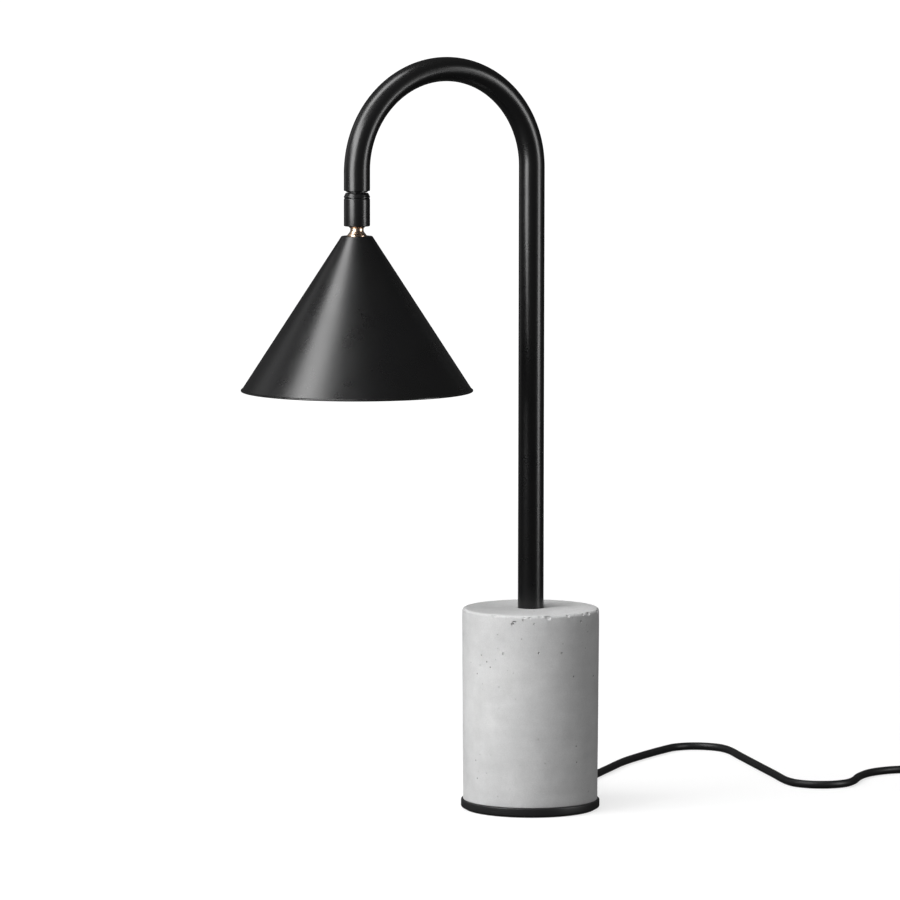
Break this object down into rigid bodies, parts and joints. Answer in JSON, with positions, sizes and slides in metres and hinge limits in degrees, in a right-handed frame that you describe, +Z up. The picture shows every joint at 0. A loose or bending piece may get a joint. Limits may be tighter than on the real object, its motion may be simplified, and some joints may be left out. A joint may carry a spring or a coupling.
{
  "type": "table lamp",
  "caption": "Table lamp: arched tube on a concrete cylinder, conical shade on a ball joint, mains lead with switch and plug.",
  "frame": {"origin": "centre of the underside of the base pad, on the table, under the upright tube", "axes": "+Z up; the arch lies in the XZ plane with the shade towards -X; +Y is across the arch, on the side where the lead leaves"},
  "size_m": [0.5124, 0.3778, 0.4691],
  "materials": {
    "black_metal": "satin",
    "concrete": "matte",
    "brass": "polished",
    "black_rubber": "matte",
    "pad_rubber": "matte",
    "black_plastic": "satin",
    "zinc_steel": "satin",
    "white_plastic": "matte",
    "ceramic": "satin",
    "bulb_glass": "satin"
  },
  "bodies": {
    "stand": {"base_pad": "pad_rubber", "base_plate": "black_metal", "plate_screw_1": "zinc_steel", "plate_screw_2": "zinc_steel", "plate_screw_3": "zinc_steel", "plate_insert_1": "brass", "plate_insert_2": "brass", "plate_insert_3": "brass", "concrete_base": "concrete", "cord_gland": "black_rubber", "cord_inner_end": "black_rubber", "terminal_block": "white_plastic", "stem_tube": "black_metal", "tube_foot_bush": "zinc_steel", "stem_nipple": "zinc_steel", "stem_washer": "zinc_steel", "stem_nut": "zinc_steel", "wiring_sleeve": "white_plastic", "leg_end_plug": "black_metal", "swivel_clip": "zinc_steel", "lead_to_switch": "black_rubber", "lead_to_coil": "black_rubber", "lead_to_plug": "black_rubber", "lead_coil": "black_rubber", "coil_tie": "black_rubber", "switch_housing_bottom": "black_plastic", "switch_housing_top": "black_plastic", "switch_screw_1": "zinc_steel", "switch_screw_2": "zinc_steel", "switch_relief_near": "black_rubber", "switch_relief_far": "black_rubber", "plug_body": "black_plastic", "plug_relief": "black_rubber", "plug_pin_1": "zinc_steel", "plug_pin_2": "zinc_steel"},
    "swivel": {"swivel_collar": "black_metal", "joint_sleeve": "black_metal", "friction_cup": "white_plastic", "spring_washer": "zinc_steel"},
    "stud": {"ball_stud": "brass"},
    "head": {"shade_shell": "black_metal", "shade_washer": "zinc_steel", "shade_ring_nut": "brass", "holder_bracket": "zinc_steel", "holder_nut": "zinc_steel", "lampholder": "ceramic", "holder_screw_1": "zinc_steel", "holder_screw_2": "zinc_steel", "holder_lead": "white_plastic", "bulb_base": "ceramic", "bulb_pin_1": "zinc_steel", "bulb_pin_2": "zinc_steel", "bulb_capsule": "bulb_glass"},
    "rocker": {"switch_rocker": "black_plastic"}
  },
  "joints": [
    {"name": "head_swivel", "type": "hinge", "parent": "stand", "child": "swivel", "pos_m": [-0.1224, 0, 0.3872], "axis": [0, 0, 1], "range_deg": [-170, 170]},
    {"name": "head_tilt", "type": "hinge", "parent": "swivel", "child": "stud", "pos_m": [-0.1224, 0, 0.3702], "axis": [0, 1, 0], "range_deg": [-25, 25]},
    {"name": "shade_spin", "type": "hinge", "parent": "stud", "child": "head", "pos_m": [-0.1224, 0, 0.3702], "axis": [0, 0, 1], "range_deg": [-170, 170]},
    {"name": "switch_rock", "type": "hinge", "parent": "stand", "child": "rocker", "pos_m": [0.307, -0.084, 0.0118], "axis": [1, 0, 0], "range_deg": [-14, 0]}
  ]
}
